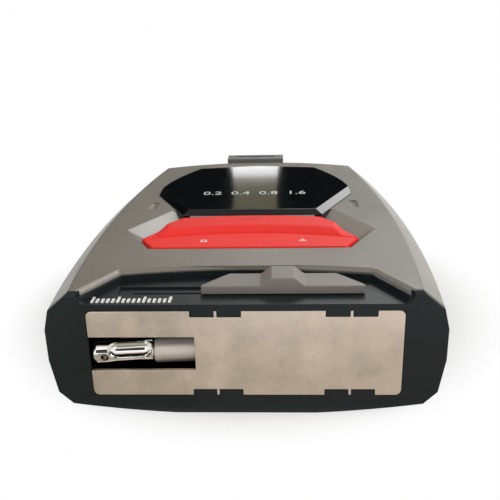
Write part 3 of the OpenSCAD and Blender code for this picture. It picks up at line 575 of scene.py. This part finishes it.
def key_shows(place, length):
    """The edges of a key that are rounded: those above its flange."""
    return length > short_edge and place.z > key_flange_z


key_red = moulded("key_red", linear(255, 54, 47), roughness=0.55, drift=0.06, grain=4200, bump=0.04,
                  specular=0.18)
for key, edge in (("start", 0.00045), ("left", 0.00025), ("right", 0.00025)):
    finished(f"{key}_key", f"{key}_key_cap", f"{key}_button", key_red, edge, angle=14,
             shows=key_shows)

# Key marks
# Small white signs printed on the lower keys, a square for the memory and a pointer for the menu,
# and a flat ring of darker red on the slope of the start key, painted shade that stands for an engraved ring.
mark_line = 0.0003
mark_ink = 0.00002
sign_size = 0.00204
sign_y = -0.02655
square_x = -0.0102
pointer_x = 0.0120
ring_size = 0.00238
ring_place = (0.0, -0.0130, 0.02735)
ring_lean = math.radians(-5.65)
ring_wide = 2.0
key_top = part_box("left_key")[1][2]


def outlined(name, corners, place, size, turn=0.0, lean=0.0, wide=1.0):
    """A flat outline with a number of corners, laid on the face under it as print or as painted shade."""
    bpy.ops.object.select_all(action="DESELECT")
    bpy.ops.mesh.primitive_circle_add(vertices=corners, radius=size / 2, fill_type="NGON", location=place,
                                      rotation=(lean, 0, turn))
    piece = bpy.context.object
    piece.name = name
    piece.scale = (wide, 1, 1)
    bpy.ops.object.transform_apply(location=True, rotation=True, scale=True)
    bpy.ops.object.mode_set(mode="EDIT")
    bpy.ops.mesh.select_all(action="SELECT")
    bpy.ops.mesh.inset(thickness=mark_line)
    bpy.ops.mesh.delete(type="FACE")
    bpy.ops.mesh.select_all(action="SELECT")
    bpy.ops.mesh.extrude_region_move(TRANSFORM_OT_translate={"value": (0, 0, mark_ink)})
    bpy.ops.mesh.select_all(action="SELECT")
    bpy.ops.mesh.normals_make_consistent(inside=False)
    bpy.ops.object.mode_set(mode="OBJECT")
    return piece


mark_white = printed("mark_white", linear(250, 226, 222))
left_mark = outlined("left_key_mark", corners=4, place=(square_x, sign_y, key_top), size=sign_size,
                     turn=math.pi / 4)
right_mark = outlined("right_key_mark", corners=3, place=(pointer_x, sign_y, key_top), size=sign_size)
for mark, button in ((left_mark, "left_button"), (right_mark, "right_button")):
    mark.data.materials.append(mark_white)
    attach(mark, button)
# The start key's ring is painted shade: a darker red outline where an engraved ring on the slope would hold
# shade.
start_mark = outlined("start_key_mark", corners=40, place=ring_place, size=ring_size, lean=ring_lean,
                      wide=ring_wide)
start_mark.data.materials.append(printed("ring_painted_shade", linear(214, 44, 40)))
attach(start_mark, "start_button")

# Slider
# The grey finger piece that opens and closes the shutter, moulded like the cover, with a ridge across
# its middle and a stem that reaches through the slot in the deck.
slider_grey = moulded("slider_grey", linear(135, 129, 123), roughness=0.42, drift=0.08, specular=0.35)
finished("shutter_knob", "slider_moulding", "shutter", slider_grey, edge=0.0003, angle=20)

# Shutter plate
# The thin steel sheet behind the base plate that closes the fork slot, bent at its top into a foot
# that is welded to the slider's stem. It is drawn across, so its grain runs along the slot.
sheet_steel = metal("sheet_steel", linear(176, 178, 180), roughness=0.30, mottle=0.12, stretch=(0.06, 1, 1))
finished("shutter_plate", "shutter_sheet", "shutter", sheet_steel, edge=0.00005, segments=1)

# Pickup
# The probe: a turned steel neck left satin, and a head with a scooped top that is polished and chromed
# and slides over the work beside the stylus. The other end swings on the pivot pin.
head_end_x = -0.0180
satin_width = 0.0002
neck_skin = {"Color": linear(212, 203, 195), "Mottle": 0.18, "Roughness": 0.55, "Stretch": (0.15, 1, 1)}
neck_bump = 0.02
chrome_white = linear(238, 236, 232)
chrome_roughness = 0.05


def probe_finish(name):
    """Mirror chrome on the head, and a satin turned surface from the head to the pivot."""
    material = bpy.data.materials.new(name)
    tree, out = node_tree(material)
    shader = tree.nodes.new("ShaderNodeBsdfPrincipled")
    shader.inputs["Metallic"].default_value = 1
    coord = tree.nodes.new("ShaderNodeTexCoord")
    apart = tree.nodes.new("ShaderNodeSeparateXYZ")
    satin = tree.nodes.new("ShaderNodeMapRange")
    satin.inputs["From Min"].default_value = head_end_x - satin_width
    satin.inputs["From Max"].default_value = head_end_x + satin_width
    skin = tree.nodes.new("ShaderNodeGroup")
    skin.node_tree = worked_metal
    for socket, value in neck_skin.items():
        skin.inputs[socket].default_value = value
    colour = tree.nodes.new("ShaderNodeMixRGB")
    colour.inputs["Color1"].default_value = chrome_white
    gloss = tree.nodes.new("ShaderNodeMapRange")
    gloss.inputs["To Min"].default_value = chrome_roughness
    relief = tree.nodes.new("ShaderNodeBump")
    relief.inputs["Strength"].default_value = neck_bump
    relief.inputs["Distance"].default_value = metal_depth
    turned = add_math(tree, "MULTIPLY", satin.outputs["Result"], skin.outputs["Height"])
    link(tree, (coord.outputs["Object"], apart.inputs[0]), (apart.outputs["X"], satin.inputs["Value"]),
         (satin.outputs["Result"], colour.inputs["Fac"]), (skin.outputs["Color"], colour.inputs["Color2"]),
         (satin.outputs["Result"], gloss.inputs["Value"]),
         (skin.outputs["Roughness"], gloss.inputs["To Max"]),
         (colour.outputs["Color"], shader.inputs["Base Color"]),
         (gloss.outputs["Result"], shader.inputs["Roughness"]),
         (turned, relief.inputs["Height"]),
         (relief.outputs["Normal"], shader.inputs["Normal"]), (shader.outputs[0], out.inputs["Surface"]))
    return material


finished("pickup", "pickup_probe", "pickup", probe_finish("probe_chrome"), edge=0.00012, angle=24)

# Stylus
# The hair-thin lever in the probe's bore, ground to a cone at the tip that looks out of the hole
# in the head. It is hard steel with a warm, satin surface.


def dressed(finish, *nodes):
    """Gives CAD solids that are right as they are their finish."""
    for node in nodes:
        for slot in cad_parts[node].material_slots:
            slot.material = finish


stylus_steel = metal("stylus_steel", linear(205, 184, 162), roughness=0.55, mottle=0.10, stretch=(0.1, 1, 1))
dressed(stylus_steel, "stylus")

# Strap lug
# A dark grey tab on the end wall with a slot for a wrist strap, moulded in a tough plastic
# and welded to the cover.
lug_grey = moulded("lug_grey", linear(102, 101, 99), roughness=0.5, drift=0.08)
finished("strap_lug", "strap_lug_moulding", "case", lug_grey, edge=0.0003, angle=20)

# Case screws and charging socket
# Four black socket screws sunk in the underside, and the charging socket in the end wall,
# a folded shell of tinned steel on the board.
screw_black = metal("screw_black", linear(78, 78, 80), roughness=0.38, mottle=0.20)
finished("case_screws", "case_screws_blacked", "case", screw_black, edge=0.00012, segments=2)
tinned_steel = metal("tinned_steel", linear(190, 192, 195), roughness=0.28, mottle=0.16, stretch=(1, 0.1, 1))
finished("charge_socket", "charge_socket_shell", "case", tinned_steel, edge=0.0002, segments=2)

# Drive
# A bent sheet bracket carries the motor with its gear head, two ground rods and a bush for the lead screw.
# The carriage runs on the rods, and its bronze nut rides on the screw.
zinc_sheet = metal("zinc_sheet", linear(186, 188, 186), roughness=0.40, mottle=0.28, stretch=(0.3, 1, 1))
ground_steel = metal("ground_steel", linear(205, 207, 210), roughness=0.16, mottle=0.06, stretch=(0.05, 1, 1))
bush_bronze = metal("bush_bronze", linear(188, 142, 82), roughness=0.34, mottle=0.24)
part_black = moulded("part_black", linear(38, 40, 42), roughness=0.5)
dressed(zinc_sheet, "drive_bracket", "drive_motor")
dressed(ground_steel, "guide_rods", "lead_screw", "pivot_pin", "bracket_screws")
dressed(bush_bronze, "gear_head", "screw_bearing", "lead_nut")
dressed(part_black, "carriage", "tact_switches", "buzzer")

# Electronics
# A board in green solder mask on four posts with the switches and the sounder, the display glass in its
# frame under the window, and a flat lithium cell in a blue-grey sleeve on the floor of the tray.
board_green = moulded("board_green", linear(36, 92, 62), roughness=0.32, drift=0.30, grain=900, bump=0.05)
display_grey = moulded("display_grey", linear(78, 92, 84), roughness=0.20, drift=0.05, grain=4000, bump=0.02)
cell_wrap = moulded("cell_wrap", linear(110, 126, 146), roughness=0.30, drift=0.12, grain=700, bump=0.05)
dressed(board_green, "main_board")
dressed(display_grey, "display_module")
dressed(cell_wrap, "battery_pack")
